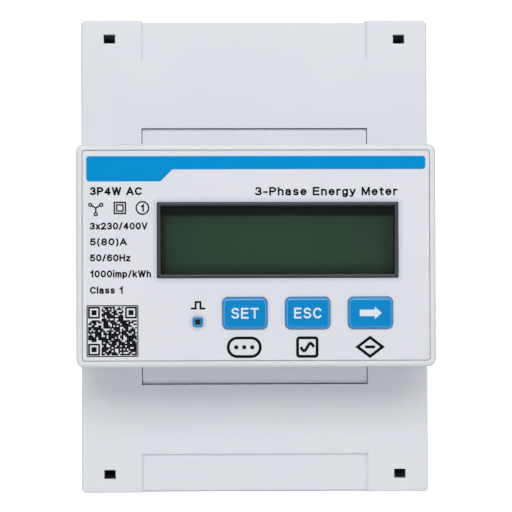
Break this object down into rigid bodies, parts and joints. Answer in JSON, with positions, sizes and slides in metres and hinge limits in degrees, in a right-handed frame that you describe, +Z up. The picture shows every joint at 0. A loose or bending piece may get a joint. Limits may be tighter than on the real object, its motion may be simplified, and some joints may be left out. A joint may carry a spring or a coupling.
{
  "type": "electricity meter",
  "caption": "Light-grey electronic electricity meter for a mounting rail, with a wide raised front, a display, blue keys, a pulse lamp and terminal covers above and below.",
  "frame": {"origin": "middle of the rail seat, where the front face of the 35 mm rail rests against the meter", "axes": "+Z up, +X to the right seen from the front, the front faces -Y"},
  "size_m": [0.072, 0.0662, 0.1024],
  "materials": {
    "light_grey_housing": "fine spark-eroded texture, satin",
    "light_grey_terminal_block": "moulded, satin",
    "grey_polyamide": "moulded polyamide, satin",
    "slate_frame": "smooth, semi-gloss",
    "printed_label": "polycarbonate overlay, fine velvet",
    "clear_window": "clear, polished",
    "lcd_glass": "dark green polarizer, satin",
    "white_diffuser": "milky diffuser",
    "conductive_rubber": "soft silicone with black conducting layers",
    "blue_key_plastic": "smooth, semi-gloss",
    "black_component_plastic": "moulded epoxy and thermoplastic",
    "clear_light_guide": "clear, polished",
    "green_circuit_board": "solder resist over glass-fibre laminate",
    "gold_pins": "gold-flashed brass",
    "tinned_copper": "tin-plated copper, satin",
    "blue_potting": "epoxy-dipped ring core",
    "zinc_plated_steel": "zinc-plated, clear passivated",
    "spring_steel": "drawn spring wire"
  },
  "bodies": {
    "base": {"aux_terminal_block": "grey_polyamide", "backlight": "white_diffuser", "board_components": "black_component_plastic", "board_screws": "zinc_plated_steel", "busbar_neutral": "tinned_copper", "busbar_phase_1": "tinned_copper", "busbar_phase_2": "tinned_copper", "busbar_phase_3": "tinned_copper", "case_screws": "zinc_plated_steel", "clip_spring": "spring_steel", "contact_pins": "gold_pins", "contact_strips": "conductive_rubber", "display_bezel": "slate_frame", "display_board": "green_circuit_board", "display_board_parts": "black_component_plastic", "display_holder": "grey_polyamide", "display_window": "clear_window", "faceplate": "printed_label", "front_case": "light_grey_housing", "lamp_light_pipe": "clear_light_guide", "lamp_ring": "blue_key_plastic", "lcd_glass": "lcd_glass", "lower_terminal_block": "light_grey_terminal_block", "lower_terminal_plate": "light_grey_terminal_block", "main_board": "green_circuit_board", "rear_case": "light_grey_housing", "transformer_phase_1": "blue_potting", "transformer_phase_2": "blue_potting", "transformer_phase_3": "blue_potting", "upper_terminal_block": "light_grey_terminal_block", "upper_terminal_plate": "light_grey_terminal_block"},
    "upper_cover": {"upper_terminal_cover": "light_grey_housing"},
    "lower_cover": {"lower_terminal_cover": "light_grey_housing"},
    "set_key": {"set_button": "blue_key_plastic", "set_switch_plunger": "black_component_plastic"},
    "esc_key": {"esc_button": "blue_key_plastic", "esc_switch_plunger": "black_component_plastic"},
    "next_key": {"next_button": "blue_key_plastic", "next_switch_plunger": "black_component_plastic"},
    "clip": {"rail_clip": "grey_polyamide"},
    "upper_phase_1_screw": {"upper_screw_phase_1": "zinc_plated_steel"},
    "upper_phase_1_cage": {"upper_cage_phase_1": "zinc_plated_steel"},
    "upper_phase_2_screw": {"upper_screw_phase_2": "zinc_plated_steel"},
    "upper_phase_2_cage": {"upper_cage_phase_2": "zinc_plated_steel"},
    "upper_phase_3_screw": {"upper_screw_phase_3": "zinc_plated_steel"},
    "upper_phase_3_cage": {"upper_cage_phase_3": "zinc_plated_steel"},
    "upper_neutral_screw": {"upper_screw_neutral": "zinc_plated_steel"},
    "upper_neutral_cage": {"upper_cage_neutral": "zinc_plated_steel"},
    "lower_phase_1_screw": {"lower_screw_phase_1": "zinc_plated_steel"},
    "lower_phase_1_cage": {"lower_cage_phase_1": "zinc_plated_steel"},
    "lower_phase_2_screw": {"lower_screw_phase_2": "zinc_plated_steel"},
    "lower_phase_2_cage": {"lower_cage_phase_2": "zinc_plated_steel"},
    "lower_phase_3_screw": {"lower_screw_phase_3": "zinc_plated_steel"},
    "lower_phase_3_cage": {"lower_cage_phase_3": "zinc_plated_steel"},
    "lower_neutral_screw": {"lower_screw_neutral": "zinc_plated_steel"},
    "lower_neutral_cage": {"lower_cage_neutral": "zinc_plated_steel"},
    "aux_1_screw": {"aux_screw_1": "zinc_plated_steel"},
    "aux_2_screw": {"aux_screw_2": "zinc_plated_steel"},
    "aux_3_screw": {"aux_screw_3": "zinc_plated_steel"},
    "aux_4_screw": {"aux_screw_4": "zinc_plated_steel"}
  },
  "joints": [
    {"name": "upper_cover_lift", "type": "slide", "parent": "base", "child": "upper_cover", "axis": [0, -1, 0], "range_m": [0, 0.032]},
    {"name": "lower_cover_lift", "type": "slide", "parent": "base", "child": "lower_cover", "axis": [0, -1, 0], "range_m": [0, 0.032]},
    {"name": "set_press", "type": "slide", "parent": "base", "child": "set_key", "axis": [0, 1, 0], "range_m": [0, 0.0005], "stiffness_N_per_m": 1500, "springref_m": -0.0005},
    {"name": "esc_press", "type": "slide", "parent": "base", "child": "esc_key", "axis": [0, 1, 0], "range_m": [0, 0.0005], "stiffness_N_per_m": 1500, "springref_m": -0.0005},
    {"name": "next_press", "type": "slide", "parent": "base", "child": "next_key", "axis": [0, 1, 0], "range_m": [0, 0.0005], "stiffness_N_per_m": 1500, "springref_m": -0.0005},
    {"name": "clip_pull", "type": "slide", "parent": "base", "child": "clip", "axis": [0, 0, -1], "range_m": [0, 0.0036], "stiffness_N_per_m": 1500, "springref_m": -0.004, "deforming": ["clip_spring"]},
    {"name": "upper_phase_1_cage_rise", "type": "slide", "parent": "base", "child": "upper_phase_1_cage", "axis": [0, -1, 0], "range_m": [0, 0.0056]},
    {"name": "upper_phase_1_screw_turn", "type": "hinge", "parent": "base", "child": "upper_phase_1_screw", "pos_m": [-0.0225, -0.029, 0.03875], "axis": [0, 1, 0], "range_deg": [0, 2522]},
    {"name": "upper_phase_2_cage_rise", "type": "slide", "parent": "base", "child": "upper_phase_2_cage", "axis": [0, -1, 0], "range_m": [0, 0.0056]},
    {"name": "upper_phase_2_screw_turn", "type": "hinge", "parent": "base", "child": "upper_phase_2_screw", "pos_m": [-0.0075, -0.029, 0.03875], "axis": [0, 1, 0], "range_deg": [0, 2522]},
    {"name": "upper_phase_3_cage_rise", "type": "slide", "parent": "base", "child": "upper_phase_3_cage", "axis": [0, -1, 0], "range_m": [0, 0.0056]},
    {"name": "upper_phase_3_screw_turn", "type": "hinge", "parent": "base", "child": "upper_phase_3_screw", "pos_m": [0.0075, -0.029, 0.03875], "axis": [0, 1, 0], "range_deg": [0, 2522]},
    {"name": "upper_neutral_cage_rise", "type": "slide", "parent": "base", "child": "upper_neutral_cage", "axis": [0, -1, 0], "range_m": [0, 0.0056]},
    {"name": "upper_neutral_screw_turn", "type": "hinge", "parent": "base", "child": "upper_neutral_screw", "pos_m": [0.0225, -0.029, 0.03875], "axis": [0, 1, 0], "range_deg": [0, 2522]},
    {"name": "lower_phase_1_cage_rise", "type": "slide", "parent": "base", "child": "lower_phase_1_cage", "axis": [0, -1, 0], "range_m": [0, 0.0056]},
    {"name": "lower_phase_1_screw_turn", "type": "hinge", "parent": "base", "child": "lower_phase_1_screw", "pos_m": [-0.0225, -0.029, -0.03875], "axis": [0, 1, 0], "range_deg": [0, 2522]},
    {"name": "lower_phase_2_cage_rise", "type": "slide", "parent": "base", "child": "lower_phase_2_cage", "axis": [0, -1, 0], "range_m": [0, 0.0056]},
    {"name": "lower_phase_2_screw_turn", "type": "hinge", "parent": "base", "child": "lower_phase_2_screw", "pos_m": [-0.0075, -0.029, -0.03875], "axis": [0, 1, 0], "range_deg": [0, 2522]},
    {"name": "lower_phase_3_cage_rise", "type": "slide", "parent": "base", "child": "lower_phase_3_cage", "axis": [0, -1, 0], "range_m": [0, 0.0056]},
    {"name": "lower_phase_3_screw_turn", "type": "hinge", "parent": "base", "child": "lower_phase_3_screw", "pos_m": [0.0075, -0.029, -0.03875], "axis": [0, 1, 0], "range_deg": [0, 2522]},
    {"name": "lower_neutral_cage_rise", "type": "slide", "parent": "base", "child": "lower_neutral_cage", "axis": [0, -1, 0], "range_m": [0, 0.0056]},
    {"name": "lower_neutral_screw_turn", "type": "hinge", "parent": "base", "child": "lower_neutral_screw", "pos_m": [0.0225, -0.029, -0.03875], "axis": [0, 1, 0], "range_deg": [0, 2522]},
    {"name": "aux_1_screw_turn", "type": "hinge", "parent": "base", "child": "aux_1_screw", "pos_m": [-0.0075, -0.039, 0.0309], "axis": [0, 1, 0], "range_deg": [0, 1440]},
    {"name": "aux_2_screw_turn", "type": "hinge", "parent": "base", "child": "aux_2_screw", "pos_m": [-0.0025, -0.039, 0.0309], "axis": [0, 1, 0], "range_deg": [0, 1440]},
    {"name": "aux_3_screw_turn", "type": "hinge", "parent": "base", "child": "aux_3_screw", "pos_m": [0.0025, -0.039, 0.0309], "axis": [0, 1, 0], "range_deg": [0, 1440]},
    {"name": "aux_4_screw_turn", "type": "hinge", "parent": "base", "child": "aux_4_screw", "pos_m": [0.0075, -0.039, 0.0309], "axis": [0, 1, 0], "range_deg": [0, 1440]}
  ],
  "couplings": [
    {"joint": "upper_phase_1_screw_turn", "follows": "upper_phase_1_cage_rise", "rad_per_m": 7854},
    {"joint": "upper_phase_2_screw_turn", "follows": "upper_phase_2_cage_rise", "rad_per_m": 7854},
    {"joint": "upper_phase_3_screw_turn", "follows": "upper_phase_3_cage_rise", "rad_per_m": 7854},
    {"joint": "upper_neutral_screw_turn", "follows": "upper_neutral_cage_rise", "rad_per_m": 7854},
    {"joint": "lower_phase_1_screw_turn", "follows": "lower_phase_1_cage_rise", "rad_per_m": 7854},
    {"joint": "lower_phase_2_screw_turn", "follows": "lower_phase_2_cage_rise", "rad_per_m": 7854},
    {"joint": "lower_phase_3_screw_turn", "follows": "lower_phase_3_cage_rise", "rad_per_m": 7854},
    {"joint": "lower_neutral_screw_turn", "follows": "lower_neutral_cage_rise", "rad_per_m": 7854}
  ]
}
